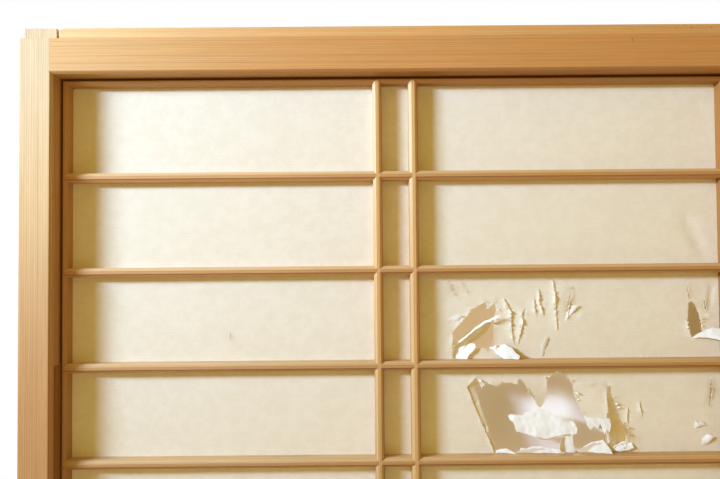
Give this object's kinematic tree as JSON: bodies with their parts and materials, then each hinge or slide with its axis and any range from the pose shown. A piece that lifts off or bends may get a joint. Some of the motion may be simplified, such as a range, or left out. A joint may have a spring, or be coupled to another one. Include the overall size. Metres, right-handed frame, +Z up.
{
  "type": "shoji sliding screen",
  "caption": "Low shoji leaf: softwood frame, lattice with mitred cross-laps, lining strips with a shadow gap, finger pull, set-back track edges and torn paper pasted on the back.",
  "frame": {"origin": "middle of the foot, half way between the room side and the papered side", "axes": "+X to the right seen from the room, +Y from the room side to the papered side, +Z up"},
  "size_m": [0.675, 0.03, 0.8],
  "materials": {
    "frame_wood": "planed softwood, bare, darkened with age",
    "lattice_wood": "planed softwood, bare, darkened with age",
    "paper": "matt, thin, translucent"
  },
  "bodies": {
    "root": {"left_stile": "frame_wood", "right_stile": "frame_wood", "top_rail": "frame_wood", "bottom_rail": "frame_wood", "lining_left": "lattice_wood", "lining_right": "lattice_wood", "lining_top": "lattice_wood", "lining_bottom": "lattice_wood", "upright_bar_left": "lattice_wood", "upright_bar_right": "lattice_wood", "level_bar_1": "lattice_wood", "level_bar_2": "lattice_wood", "level_bar_3": "lattice_wood", "level_bar_4": "lattice_wood", "level_bar_5": "lattice_wood", "level_bar_6": "lattice_wood", "level_bar_7": "lattice_wood", "paper_upper": "paper", "paper_middle": "paper", "paper_lower": "paper"}
  },
  "joints": []
}
